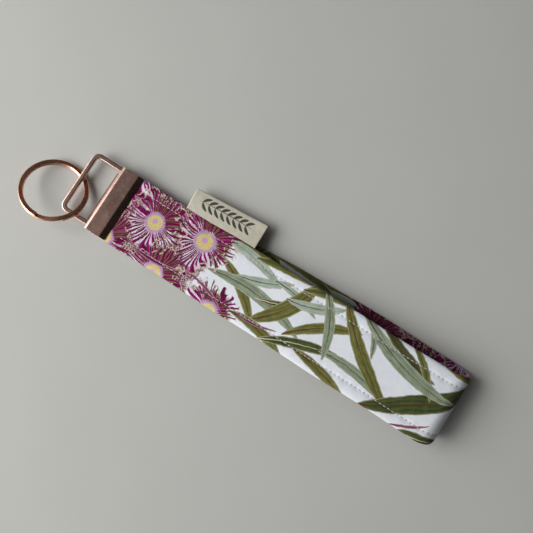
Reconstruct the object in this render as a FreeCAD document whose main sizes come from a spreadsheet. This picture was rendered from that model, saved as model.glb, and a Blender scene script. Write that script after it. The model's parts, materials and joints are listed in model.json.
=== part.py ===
"""Wristlet keychain: a printed cotton loop crimped in a metal clamp, with a bail and a split ring.

Frame: millimetres, +Z up. The origin is on the underside of the clamp, at the middle of its flat
plate. +X runs along the strap to its far fold, +Y to the side where the label is sewn in.
The keychain lies on a table, z = 0, as it does when it is put down.
"""
import FreeCAD, Part
import Sketcher
import math
import os
import re

from FreeCAD import Placement, Rotation, Vector

SIZES = [
    ("hardware_width", 31.5, "clamp, across the strap"),
    ("clamp_thick", 5.8, "clamp, over both plates"),
    ("sheet_metal", 0.9, "clamp sheet"),
    ("plate_run", 6.6, "flat part of a plate, fold axis to lip"),
    ("lip_run", 2.6, "length of the tapered lip"),
    ("lip_drop", 0.9, "taper of the lip"),
    ("plate_clear", 0.05, "inside of a plate to the crimped strap end"),
    ("tooth_tall", 0.35, "crimping tooth, height"),
    ("tooth_wide", 1.2, "crimping tooth, across the strap"),
    ("tooth_long", 1.0, "crimping tooth, back from the lip's edge"),
    ("tooth_count", 11, "teeth in a row"),
    ("tooth_margin", 2.0, "clamp's side to its first tooth"),
    ("bail_width", 30.0, "bail, over its legs"),
    ("bail_reach", 15.6, "bail pivot to the outside of its end bar"),
    ("bail_band", 2.3, "bail wire, seen from above"),
    ("bail_tall", 2.0, "bail wire, height"),
    ("bail_corner", 3.6, "bail outer corner radius"),
    ("bail_pitch", 5.3, "degrees, the bail rests on the ring"),
    ("bail_side", 0.5, "bail off centre in the clamp"),
    ("wire_gap", 0.4, "between the ends of the bail wire"),
    ("leg_slot", 3.6, "slot in the fold for a bail leg"),
    ("slot_root", 1.3, "clamp's fold axis to the closed end of a slot"),
    ("ring_outer", 30.0, "split ring outer diameter"),
    ("ring_band", 2.1, "split ring wire, radial"),
    ("coil_tall", 1.0, "height of one coil"),
    ("coil_gap", 0.04, "between the two coils"),
    ("ring_bevel", 0.3, "eased edges of the ring wire"),
    ("strap_width", 32.0, "strap"),
    ("band_thick", 1.9, "one layer of the strap"),
    ("core_thick", 0.7, "interfacing"),
    ("hem_wide", 1.2, "cotton beyond the interfacing's edge"),
    ("strap_far", 168.7, "outside of the far fold"),
    ("fold_tall", 12.0, "far fold, height over both layers"),
    ("layer_skew", 4.8, "sideways shift of the under layer"),
    ("hinge_x", 8.3, "where the strap bends at the mouth"),
    ("mouth_gap", 0.05, "between the two layers at the mouth, each side of the middle"),
    ("closing_run", 14.0, "length over which the under layer comes up to the mouth"),
    ("end_tail", 1.4, "crimped strap end, short of the clamp's fold axis"),
    ("end_bite", 1.3, "crimped strap end, length pressed thin by the teeth"),
    ("end_slope", 0.6, "crimped strap end, slope down to the pressed length"),
    ("end_margin", 0.3, "crimped strap end, in from the clamp's side"),
    ("stitch_inset", 5.0, "seam from the strap's edge"),
    ("thread_wide", 0.45, "sewing thread"),
    ("thread_deep", 0.25, "depth that the thread is pulled in"),
    ("label_near", 28.7, "label, end nearer the clamp"),
    ("label_long", 35.0, "label along the strap"),
    ("label_out_near", 9.0, "label beyond the strap at its near end"),
    ("label_out_far", 11.3, "label beyond the strap at its far end"),
    ("label_thick", 0.9, "folded label"),
    ("label_ply", 0.35, "one ply of the label"),
    ("seam_gap", 0.4, "strap edge to the label's free part"),
    ("label_slant_near", 0.9, "outer corner past the root, near end"),
    ("label_slant_far", 0.6, "outer corner short of the root, far end"),
]

doc = FreeCAD.newDocument("wristlet_keychain")
sheet = doc.addObject("Spreadsheet::Sheet", "Sizes")
for row, (alias, number, note) in enumerate(SIZES, start=1):
    sheet.set("A%d" % row, note)
    sheet.set("B%d" % row, str(number))
    sheet.setAlias("B%d" % row, alias)
doc.recompute()


def bound(text):
    """An expression in aliases, as an object of the document reads it."""
    return re.sub(r"\b([a-z]+(?:_[a-z]+)+)\b", r"Sizes.\1", text)


def size(text):
    """The value of an expression in aliases."""
    return float(sheet.evalExpression(bound(text)))


# ---------------------------------------------------------------- sketching helpers

def new_body(name):
    body = doc.addObject("PartDesign::Body", name)
    body.Label = name
    return body


def new_sketch(body, role, name):
    plane = next(item for item in body.Origin.OriginFeatures if item.Role == role)
    sketch = body.newObject("Sketcher::SketchObject", name)
    sketch.AttachmentSupport = (plane, [""])
    sketch.MapMode = "FlatFace"
    return sketch


def add_outline(sketch, corners):
    """A closed polygon whose corners are pairs of expressions, each bound to the sheet."""
    first = sketch.GeometryCount
    points = [Vector(size(across), size(up), 0) for across, up in corners]
    for index, point in enumerate(points):
        sketch.addGeometry(Part.LineSegment(point, points[(index + 1) % len(points)]), False)
    for index in range(len(points)):
        following = first + (index + 1) % len(points)
        sketch.addConstraint(Sketcher.Constraint("Coincident", first + index, 2, following, 1))
    for index, (across, up) in enumerate(corners):
        for kind, text, number in (("DistanceX", across, points[index].x),
                                   ("DistanceY", up, points[index].y)):
            place = sketch.addConstraint(
                Sketcher.Constraint(kind, -1, 1, first + index, 1, number))
            sketch.setExpression("Constraints[%d]" % place, bound(text))


def add_rectangle(sketch, low_across, low_up, high_across, high_up):
    add_outline(sketch, [(low_across, low_up), (high_across, low_up),
                         (high_across, high_up), (low_across, high_up)])


def pad(body, sketch, name, length, symmetric=False):
    feature = body.newObject("PartDesign::Pad", name)
    feature.Profile = sketch
    feature.SideType = "Symmetric" if symmetric else "One side"
    feature.setExpression("Length", bound(length))
    doc.recompute()
    return feature


def pocket_through(body, sketch, name):
    """Cut right through, both ways from the sketch."""
    before = body.Shape.Volume
    feature = body.newObject("PartDesign::Pocket", name)
    feature.Profile = sketch
    feature.Type = "ThroughAll"
    feature.SideType = "Symmetric"
    doc.recompute()
    if body.Shape.Volume >= before - 1e-6:
        raise RuntimeError(name + " cuts nothing")
    return feature


def fillet(body, name, radius, wanted):
    """Round every edge of the body that wanted(edge) picks."""
    base = body.Tip
    picked = ["Edge%d" % number for number, edge in enumerate(base.Shape.Edges, start=1)
              if wanted(edge)]
    feature = body.newObject("PartDesign::Fillet", name)
    feature.Base = (base, picked)
    feature.setExpression("Radius", bound(radius))
    doc.recompute()
    return feature


def runs_along(edge, axis):
    """True for a straight edge parallel to the axis."""
    if not isinstance(edge.Curve, (Part.Line, Part.LineSegment)):
        return False
    ends = [vertex.Point for vertex in edge.Vertexes]
    return abs((ends[1] - ends[0]).normalize().dot(axis)) > 0.999


def middle(edge):
    return edge.BoundBox.Center


def add_feature(name, shape):
    feature = doc.addObject("Part::Feature", name)
    feature.Label = name
    feature.Shape = shape
    return feature


# ---------------------------------------------------------------- clamp

FOLD_X = -size("plate_run") / 2            # axis of the clamp's fold
PIVOT = Vector(FOLD_X - 0.5, 0, size("clamp_thick / 2"))


def make_clamp():
    """One folded sheet: two plates, a round fold with a slot for each bail leg, toothed lips."""
    body = new_body("clamp")
    profile = new_sketch(body, "XZ_Plane", "clamp_profile")
    lip_start = "plate_run / 2"
    mouth = "plate_run / 2 + lip_run"
    back = "-plate_run / 2 - clamp_thick / 2"
    back_inside = "-plate_run / 2 - clamp_thick / 2 + sheet_metal"
    add_outline(profile, [
        (mouth, "clamp_thick - lip_drop"), (lip_start, "clamp_thick"), (back, "clamp_thick"),
        (back, "0"), (lip_start, "0"), (mouth, "lip_drop"),
        (mouth, "sheet_metal + plate_clear"), (back_inside, "sheet_metal + plate_clear"),
        (back_inside, "clamp_thick - sheet_metal - plate_clear"),
        (mouth, "clamp_thick - sheet_metal - plate_clear")])
    pad(body, profile, "clamp_sheet", "hardware_width", symmetric=True)

    across = Vector(0, 1, 0)
    outside = size(back) + 0.01
    inside = size(back_inside)
    fillet(body, "fold_outside", "clamp_thick / 2 - 0.02",
           lambda edge: runs_along(edge, across) and middle(edge).x < outside)
    fillet(body, "fold_inside", "clamp_thick / 2 - sheet_metal - 0.08",
           lambda edge: runs_along(edge, across) and abs(middle(edge).x - inside) < 0.01)
    fillet(body, "lip_bend", "lip_run / 2",
           lambda edge: runs_along(edge, across) and abs(middle(edge).x - size(lip_start)) < 0.01)

    slots = new_sketch(body, "XY_Plane", "slot_outline")
    slot_inner = "hardware_width / 2 - leg_slot"
    past_fold = "-plate_run / 2 - clamp_thick"
    slot_start = "-plate_run / 2 - slot_root"
    add_rectangle(slots, past_fold, slot_inner, slot_start, "hardware_width / 2 + 1")
    add_rectangle(slots, past_fold, "-hardware_width / 2 - 1", slot_start, "-(%s)" % slot_inner)
    pocket_through(body, slots, "leg_slots")
    add_teeth(body, mouth)
    return body


def add_teeth(body, mouth):
    """A row of teeth on the inside of each lip."""
    sketch = new_sketch(body, "XZ_Plane", "tooth_outline")
    row_start = size("hardware_width / 2 - tooth_margin")
    sketch.AttachmentOffset = Placement(Vector(0, 0, row_start), Rotation())
    root_low = "sheet_metal"
    root_high = "clamp_thick - sheet_metal"
    add_rectangle(sketch, mouth + " - tooth_long", root_low, mouth, root_low + " + tooth_tall")
    add_rectangle(sketch, mouth + " - tooth_long", root_high + " - tooth_tall", mouth, root_high)
    tooth = pad(body, sketch, "tooth", "tooth_wide")
    tooth.Reversed = True
    row = body.newObject("PartDesign::LinearPattern", "teeth")
    row.Originals = [tooth]
    row.Direction = (sketch, ["N_Axis"])
    row.Reversed = True
    row.setExpression("Length", bound("hardware_width - 2 * tooth_margin - tooth_wide"))
    row.Occurrences = int(size("tooth_count"))
    body.Tip = row
    doc.recompute()


# ---------------------------------------------------------------- bail

def make_bail():
    """A rectangular loop of wire whose inner bar turns in the clamp's fold."""
    body = new_body("bail")
    outline = new_sketch(body, "XY_Plane", "bail_outline")
    near = "bail_band / 2"
    add_rectangle(outline, "-bail_reach", "-bail_width / 2", near, "bail_width / 2")
    add_rectangle(outline, "-bail_reach + bail_band", "-bail_width / 2 + bail_band",
                  near + " - bail_band", "bail_width / 2 - bail_band")
    pad(body, outline, "bail_wire", "bail_tall", symmetric=True)

    up = Vector(0, 0, 1)
    far_side = -size("bail_reach / 2")
    half = size("bail_width / 2") - 0.01

    def far_corner(edge, outside):
        at_edge = abs(middle(edge).y) > half
        return runs_along(edge, up) and middle(edge).x < far_side and at_edge == outside

    fillet(body, "outer_corners", "bail_corner", lambda edge: far_corner(edge, True))
    fillet(body, "inner_corners", "bail_corner - bail_band", lambda edge: far_corner(edge, False))
    fillet(body, "root_corners", "bail_band / 2",
           lambda edge: runs_along(edge, up) and abs(middle(edge).y) > half
           and middle(edge).x > far_side)
    top = size("bail_tall / 2") - 0.01
    fillet(body, "round_wire", "bail_tall * 0.3",
           lambda edge: abs(middle(edge).z) > top)

    joint = new_sketch(body, "XY_Plane", "wire_ends")
    add_rectangle(joint, "-bail_band", "-wire_gap / 2", "bail_band", "wire_gap / 2")
    pocket_through(body, joint, "wire_gap")
    body.Placement = Placement(PIVOT + Vector(0, size("bail_side"), 0),
                               Rotation(Vector(0, 1, 0), size("bail_pitch")))
    return body


# ---------------------------------------------------------------- split ring

RING_CENTRE = Vector(-24.7, -9.2, 6.25)
RING_NORMAL = Vector(0.058, 0.369, 1.0)    # the ring leans on the bail's far leg
RING_JOG = -62.0                            # degrees, where the wire steps to its second coil
JOG_HALF = 22.0


def ring_height(angle):
    """Height of the wire's middle over the ring's mid-plane, at an angle from the jog."""
    level = size("coil_tall / 2 + coil_gap / 2")
    step = (angle - 360.0) / JOG_HALF
    if step <= -1:
        return -level
    if step >= 1:
        return level
    return level * math.sin(math.radians(90 * step))


def make_split_ring():
    """One spring wire wound nearly twice round, its ends beside the jog."""
    radius = size("ring_outer / 2 - ring_band / 2")
    start = JOG_HALF + 1.0
    turn = 720.0 - 2 * start
    steps = 66
    points = []
    for index in range(steps + 1):
        angle = start + turn * index / steps
        around = math.radians(angle + RING_JOG)
        points.append(Vector(radius * math.cos(around), radius * math.sin(around),
                             ring_height(angle)))
    line = Part.BSplineCurve()
    line.interpolate(points)
    path = Part.Wire(line.toShape())
    half_band = size("ring_band / 2")
    half_tall = size("coil_tall / 2")
    bevel = size("ring_bevel")
    corners = [(half_band, half_tall - bevel), (half_band - bevel, half_tall),
               (bevel - half_band, half_tall), (-half_band, half_tall - bevel),
               (-half_band, bevel - half_tall), (bevel - half_band, -half_tall),
               (half_band - bevel, -half_tall), (half_band, bevel - half_tall)]
    outward = Vector(points[0].x, points[0].y, 0).normalize()
    section = [points[0] + outward * across + Vector(0, 0, up) for across, up in corners]
    section.append(section[0])
    sweep = Part.BRepOffsetAPI.MakePipeShell(path)
    sweep.setBiNormalMode(Vector(0, 0, 1))
    sweep.add(Part.makePolygon(section))
    sweep.build()
    sweep.makeSolid()
    feature = add_feature("split_ring", sweep.shape())
    feature.Placement = Placement(RING_CENTRE, Rotation(Vector(0, 0, 1), RING_NORMAL))
    return feature


# ---------------------------------------------------------------- strap

def smooth(share):
    """An even S from 0 to 1."""
    share = min(max(share, 0.0), 1.0)
    return share * share * (3 - 2 * share)


def band_stations():
    """Middle line of the looped band: (centre, outward normal) from the clamp, round and back."""
    thick = size("band_thick")
    start = size("hinge_x")
    mid_z = size("clamp_thick / 2")
    fold_radius = size("fold_tall / 2 - band_thick / 2")
    fold_x = size("strap_far") - fold_radius - thick / 2
    fold_z = size("fold_tall / 2")
    skew = size("layer_skew")
    gap = size("mouth_gap")
    run = fold_x - start
    pinched = 3.0 / run                     # end of the part that is closed at the mouth
    crest = 0.96                            # the upper layer is just short of level at the fold
    fold_lead = 0.12                        # share of the skew's turn before the fold starts
    skew_gain = 1.35                        # the under layer lies straight past 1/1.35 of its run
    low_z = mid_z + thick / 2 + gap
    upper = []
    for index in range(12):
        share = (0.0, pinched, 0.07)[index] if index < 3 else (index - 1) / 11
        rise = smooth(share * crest)
        upper.append(Vector(start + run * share, 0.0,
                            low_z + rise * (fold_z + fold_radius - low_z)))
    fold = []
    fold_steps = 10
    for index in range(fold_steps + 1):
        turned = math.pi * index / fold_steps
        fold.append(Vector(fold_x + fold_radius * math.sin(turned),
                           skew * smooth(fold_lead + (1 - fold_lead) * index / fold_steps),
                           fold_z + fold_radius * math.cos(turned)))
    under = []
    for index in range(13):
        along = 1 - (index + 1) / 11 if index < 9 else (0.1, 0.05, pinched, 0.0)[index - 9]
        lift = 1 - smooth(along * run / size("closing_run"))
        under.append(Vector(start + run * along, skew * smooth(along * skew_gain),
                            thick / 2 + lift * (mid_z - gap - thick)))
    centres = upper + fold + under
    stations = []
    for index, centre in enumerate(centres):
        before = centres[max(index - 1, 0)]
        after = centres[min(index + 1, len(centres) - 1)]
        along = Vector(after.x - before.x, 0, after.z - before.z).normalize()
        normal = Vector(-along.z, 0, along.x)
        if index in (0, len(centres) - 1):
            normal = Vector(0, 0, 1 if index == 0 else -1)
        stations.append((centre, normal))
    return stations


def band_solid(stations, section):
    """A solid that carries a section, corners (across, outward), along the stations."""
    wires = []
    for centre, normal in stations:
        corners = [centre + Vector(0, across, 0) + normal * outward for across, outward in section]
        wires.append(Part.makePolygon(corners + corners[:1]))
    return Part.makeLoft(wires, True, True)


def rectangle(low_across, low_out, high_across, high_out):
    return [(low_across, low_out), (high_across, low_out),
            (high_across, high_out), (low_across, high_out)]


def seam_places():
    """The middle of each topstitched seam, by the side of the strap that it is on."""
    seam = size("strap_width / 2 - stitch_inset")
    return {"label_side": seam, "plain_side": -seam}


def cover_section():
    """Outside of the cotton, with a shallow groove where each thread is pulled in."""
    half = size("strap_width / 2")
    face = size("band_thick / 2")
    deep = size("thread_deep")
    wide = size("thread_wide / 2")
    seams = sorted(seam_places().values())
    lower = [(-half, -face)]
    for seam in seams:
        lower += [(seam - wide, -face), (seam - wide, deep - face),
                  (seam + wide, deep - face), (seam + wide, -face)]
    lower.append((half, -face))
    upper = [(across, -outward) for across, outward in reversed(lower)]
    return lower + upper


def make_strap_cover(stations):
    """Print cotton folded round the interfacing, in one loop; its ends are pinched at the mouth."""
    half = size("strap_width / 2")
    core_half = half - size("hem_wide")
    core_face = size("core_thick / 2")
    outside = band_solid(stations, cover_section())
    hollow = band_solid(stations[1:-1], rectangle(-core_half, -core_face, core_half, core_face))
    pinch = Part.makeCylinder(size("band_thick"), size("strap_width"),
                              Vector(size("hinge_x"), -half, size("clamp_thick / 2")),
                              Vector(0, 1, 0))
    return add_feature("strap_cover", outside.cut(hollow).fuse(pinch).removeSplitter())


def make_interfacing(stations):
    """Stiffening strip inside the cotton."""
    core_half = size("strap_width / 2 - hem_wide")
    core_face = size("core_thick / 2")
    return add_feature("strap_interfacing", band_solid(
        stations[1:-1], rectangle(-core_half, -core_face, core_half, core_face)))


def make_threads(stations):
    """Each seam is two threads: the needle's on the outside, the bobbin's on the inside."""
    face = size("band_thick / 2")
    deep = size("thread_deep")
    wide = size("thread_wide / 2")
    threads = []
    for side, seam in seam_places().items():
        for thread, low, high in (("needle", face - deep, face), ("bobbin", -face, deep - face)):
            section = rectangle(seam - wide, low, seam + wide, high)
            threads.append(add_feature("%s_thread_%s" % (thread, side),
                                       band_solid(stations[1:-1], section)))
    return threads


def make_strap_end(name, level):
    """The crimped end of one layer, between the clamp's plates; the lips press it thinner."""
    body = new_body(name)
    profile = new_sketch(body, "XZ_Plane", name + "_profile")
    tail = "-plate_run / 2 + end_tail"
    squeeze = "plate_run / 2 + lip_run - end_bite"
    mouth = "plate_run / 2 + lip_run"
    inner = "0.03"
    outer = "band_thick"
    bitten = "band_thick - tooth_tall - 0.1"
    add_outline(profile, [(tail, inner), (mouth, inner), (mouth, bitten),
                          (squeeze, bitten), (squeeze + " - end_slope", outer), (tail, outer)])
    pad(body, profile, name + "_layer", "hardware_width - 2 * end_margin", symmetric=True)
    flip = Rotation() if level > 0 else Rotation(Vector(1, 0, 0), 180)
    body.Placement = Placement(Vector(0, 0, size("clamp_thick / 2")), flip)
    return body


# ---------------------------------------------------------------- label

def label_height(stations):
    """Height of the upper layer's middle beside the label."""
    centre = size("label_near + label_long / 2")
    before, after = next((one[0], two[0]) for one, two in zip(stations, stations[1:])
                         if one[0].x <= centre <= two[0].x)
    share = (centre - before.x) / (after.x - before.x)
    return before.z + share * (after.z - before.z)


def make_label(stations):
    """A ribbon folded in two, its raw ends in the seam; two plies joined along the outer fold."""
    body = new_body("label")
    plan = new_sketch(body, "XY_Plane", "label_plan")
    add_outline(plan, [("0", "seam_gap"), ("label_long", "seam_gap"),
                       ("label_long - label_slant_far", "label_out_far"),
                       ("-label_slant_near", "label_out_near")])
    pad(body, plan, "label_plies", "label_thick")
    slit = new_sketch(body, "YZ_Plane", "label_slit")
    add_rectangle(slit, "0", "label_ply", "label_out_near - label_thick",
                  "label_thick - label_ply")
    pocket_through(body, slit, "between_plies")
    body.Placement = Placement(
        Vector(size("label_near"), size("strap_width / 2"),
               label_height(stations) - size("label_thick / 2")), Rotation())
    return body


# ---------------------------------------------------------------- build and write

def build():
    stations = band_stations()
    parts = [make_clamp(), make_bail(), make_split_ring(),
             make_strap_end("strap_end_upper", 1), make_strap_end("strap_end_under", -1),
             make_strap_cover(stations), make_interfacing(stations)]
    parts += make_threads(stations)
    parts.append(make_label(stations))
    return parts


def check(parts):
    for item in doc.Objects:
        if "Invalid" in item.State or "Error" in item.State:
            raise RuntimeError("%s is %s" % (item.Name, item.State))
    for part in parts:
        if part.Shape.isNull() or not part.Shape.isValid():
            raise RuntimeError(part.Label + " has no valid shape")
        box = part.Shape.BoundBox
        print("%-26s %d solids %8.1f mm3  x %.1f..%.1f  y %.1f..%.1f  z %.2f..%.2f" % (
            part.Label, len(part.Shape.Solids), part.Shape.Volume,
            box.XMin, box.XMax, box.YMin, box.YMax, box.ZMin, box.ZMax))


def write(parts):
    os.makedirs("parts", exist_ok=True)
    for part in parts:
        part.Shape.exportStep("parts/%s.step" % part.Label)


PARTS = build()
doc.recompute()
check(PARTS)
write(PARTS)
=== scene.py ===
import json
import math

import bpy
import numpy as np
from mathutils import Matrix, Vector


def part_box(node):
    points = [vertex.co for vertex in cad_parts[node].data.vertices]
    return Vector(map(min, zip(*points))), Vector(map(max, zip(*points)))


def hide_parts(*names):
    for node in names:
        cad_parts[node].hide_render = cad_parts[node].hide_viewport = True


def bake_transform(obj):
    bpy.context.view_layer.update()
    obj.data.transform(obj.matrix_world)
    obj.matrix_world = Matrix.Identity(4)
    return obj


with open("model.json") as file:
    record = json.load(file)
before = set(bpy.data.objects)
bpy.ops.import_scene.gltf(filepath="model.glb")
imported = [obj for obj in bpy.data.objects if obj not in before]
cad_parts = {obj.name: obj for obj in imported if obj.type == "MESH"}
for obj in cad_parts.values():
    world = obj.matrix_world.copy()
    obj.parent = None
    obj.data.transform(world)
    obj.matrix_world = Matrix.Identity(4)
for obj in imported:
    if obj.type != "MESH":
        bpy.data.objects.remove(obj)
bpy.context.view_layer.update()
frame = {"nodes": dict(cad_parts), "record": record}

MM = 0.001

# ------------------------------------------------------------------ places read from the frame


def box(node):
    """A CAD node's lowest and highest corner, in mm."""
    low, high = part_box(node)
    return np.array(low) / MM, np.array(high) / MM


def joint_place(name):
    """Where a joint's axis is, in mm."""
    for joint in frame["record"]["behaviour"]["joints"]:
        if joint["name"] == name:
            return np.array(joint["pos_m"]) / MM
    raise KeyError(name)


COVER_LOW, COVER_HIGH = box("strap_cover")
_, CLAMP_HIGH = box("clamp")
LABEL_LOW, LABEL_HIGH = box("label")
END_LOW, _ = box("strap_end_upper")
HINGE_X = joint_place("strap_bend")[0]

LAYER = 1.9                                   # one layer of the strap, mm
HALF_WIDTH = -COVER_LOW[1]                    # the upper layer is centred on the clamp
SKEW = COVER_HIGH[1] - HALF_WIDTH             # how far the under layer lies to the side
FOLD_TALL = COVER_HIGH[2]
FOLD_RADIUS = (FOLD_TALL - LAYER) / 2
FOLD_X = COVER_HIGH[0] - FOLD_RADIUS - LAYER / 2
FOLD_Z = FOLD_TALL / 2
MID_Z = CLAMP_HIGH[2] / 2
MOUTH_X = CLAMP_HIGH[0]
SEAM_INSET = 5.0                              # from the strap's edge to each seam, mm
SEAM = HALF_WIDTH - SEAM_INSET
STITCH = 2.0                                  # stitch pitch, mm
LAYER_GAP = 0.05                              # from the middle plane to each layer at the mouth, mm
PRESSED = 0.24                                # how much thinner each side is in the lips, mm
TABLE_GAP = 0.03                              # the strap's cloth goes no lower than this, mm
BAND_STEP = 0.25                              # spacing of the points on the strap's path, mm


# ------------------------------------------------------------------ small helpers


def smooth(share):
    """0 at 0 and below, 1 at 1 and above, with a soft start and end between."""
    share = np.clip(share, 0.0, 1.0)
    return share * share * (3 - 2 * share)


def mesh_object(name, vertices, faces, material=None, smooth_shade=True):
    """A mesh piece from points in mm, in the row frame."""
    mesh = bpy.data.meshes.new(name)
    mesh.from_pydata((np.asarray(vertices) * MM).tolist(), [], faces)
    mesh.polygons.foreach_set("use_smooth", [smooth_shade] * len(mesh.polygons))
    mesh.update()
    piece = bpy.data.objects.new(name, mesh)
    bpy.context.scene.collection.objects.link(piece)
    if material:
        mesh.materials.append(material)
    return piece


# ------------------------------------------------------------------ the strap's path


def path_points():
    """The middle of the looped band, finely spaced: from inside the clamp, round, and back."""
    tail_inset = 0.4                # the band ends this far inside the CAD strap end
    still_rising = 0.96             # share of the smooth rise that is done at the fold
    fold_lead = 0.12                # share of the sideways shift that starts before the fold
    closing_run = 14.0              # length over which the under layer comes up to the mouth
    skew_gain = 1.35                # the under layer reaches its full shift before the fold
    tail_x = END_LOW[0] + tail_inset
    half = LAYER / 2
    run = FOLD_X - HINGE_X
    low_z = MID_Z + half + LAYER_GAP
    upper_x = np.arange(tail_x, FOLD_X, BAND_STEP)
    share = np.clip((upper_x - HINGE_X) / run, 0, 1)
    upper_z = low_z + smooth(share * still_rising) * (FOLD_Z + FOLD_RADIUS - low_z)
    upper = np.c_[upper_x, np.zeros_like(upper_x), upper_z]
    turned = np.linspace(0, 1, 68)
    fold = np.c_[FOLD_X + FOLD_RADIUS * np.sin(math.pi * turned),
                 SKEW * smooth(fold_lead + (1 - fold_lead) * turned),
                 FOLD_Z + FOLD_RADIUS * np.cos(math.pi * turned)]
    under_x = np.arange(FOLD_X, tail_x, -BAND_STEP)
    along = np.clip((under_x - HINGE_X) / run, 0, 1)
    lift = 1 - smooth(along * run / closing_run)
    under = np.c_[under_x, SKEW * smooth(along * skew_gain),
                  half + lift * (MID_Z - LAYER_GAP - LAYER)]
    return np.vstack([upper, fold, under[1:]])


def rows_at(s, table_s, table):
    """The rows of a three-column table at arc lengths s, by straight lines between them."""
    return np.c_[[np.interp(s, table_s, table[:, axis]) for axis in range(3)]].T


class Band:
    """The strap's middle line by arc length, with its outward normal."""

    def __init__(self, step):
        points = path_points()
        flat = points[:, [0, 2]]
        gone = np.r_[0, np.cumsum(np.linalg.norm(np.diff(flat, axis=0), axis=1))]
        self.length = gone[-1]
        self.s = np.linspace(0, self.length, int(self.length / step))
        centre = rows_at(self.s, gone, points)
        reach = 4                   # points averaged on each side of a point
        kernel = np.ones(2 * reach + 1) / (2 * reach + 1)
        for axis in (1, 2):
            padded = np.pad(centre[:, axis], reach, mode="edge")
            centre[:, axis] = np.convolve(padded, kernel, "valid")
        along = np.gradient(centre[:, [0, 2]], axis=0)
        along /= np.linalg.norm(along, axis=1)[:, None]
        self.centre = centre
        self.normal = np.c_[-along[:, 1], np.zeros(len(along)), along[:, 0]]

    def at(self, s, across, outward):
        """Points at arc lengths s, across the strap and outward from its middle."""
        shift = np.c_[np.zeros_like(s), across, np.zeros_like(s)]
        return self.centre_at(s) + shift + self.normal_at(s) * outward[:, None]

    def centre_at(self, s):
        return rows_at(s, self.s, self.centre)

    def normal_at(self, s):
        return rows_at(s, self.s, self.normal)

    def x_at(self, s):
        return np.interp(s, self.s, self.centre[:, 0])


BAND = Band(BAND_STEP)


def mouth_squeeze(s):
    """1 where the clamp's lips press the strap thin, 0 in the free strap."""
    swelling_run = 3.2
    return 1 - smooth((BAND.x_at(s) - MOUTH_X) / swelling_run)


def ridge(across, place, reach):
    """A smooth ridge, 1 high, along both edges of the strap: 1 at its place, fading over reach."""
    return np.exp(-((np.abs(across) - place) / reach) ** 2)


def half_thickness(s, across):
    """Half the strap's thickness: rounded folded edges, pulled in along the seams."""
    edge = np.clip(np.abs(across) / HALF_WIDTH, 0, 1)
    edge_sharpness = 14
    profile = (1 - edge ** edge_sharpness) ** 0.5
    hem = 0.06 * ridge(across, HALF_WIDTH - 1.6, 1.0)
    hem += 0.05 * ridge(across, HALF_WIDTH - 3.4, 1.0)
    hole = 0.5 + 0.5 * np.cos(2 * math.pi * s / STITCH)
    pucker_length = 2.9 * STITCH
    pucker = 0.05 * np.sin(2 * math.pi * s / pucker_length + across * 0.35)
    groove = 0.14 + 0.12 * hole
    dip = 0.04 + pucker
    pull = ridge(across, SEAM, 0.75) * groove + ridge(across, SEAM, 2.4) * dip
    full = LAYER / 2 * profile + hem * profile - pull * profile
    pressed = LAYER / 2 - PRESSED
    squeeze = mouth_squeeze(s)
    return full * (1 - squeeze) + np.minimum(full, pressed * profile) * squeeze


def lies_on_table(s):
    """1 where the under layer lies flat, 0 near the mouth, near the fold and on the upper layer."""
    flat_from, mouth_run = 12, 10             # mm along the strap
    flat_to, fold_run = 165, 8
    clear_of_mouth = smooth((BAND.x_at(s) - flat_from) / mouth_run)
    clear_of_fold = smooth((flat_to - BAND.x_at(s)) / fold_run)
    return np.where(s > BAND.length / 2, clear_of_mouth * clear_of_fold, 0.0)


def surface(s, across, side):
    """A point on the outer (side 1) or inner (side -1) face of the band."""
    half = half_thickness(s, across)
    free = 1 - mouth_squeeze(s)
    twist = 0.10 * np.sin(s * 0.085 + 1.1) * np.sin(across * 0.13 + 0.4)
    ripple = 0.06 * np.sin(s * 0.21 + across * 0.11)
    wave = free * (twist + ripple) * (1 - lies_on_table(s))
    edge_wander = free * 0.16 * np.sin(s * 0.12 + 0.7) * across / HALF_WIDTH
    points = BAND.at(s, across + edge_wander, side * half + wave)
    points[:, 2] = np.maximum(points[:, 2], TABLE_GAP)
    return points


# ------------------------------------------------------------------ node helpers


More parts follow.
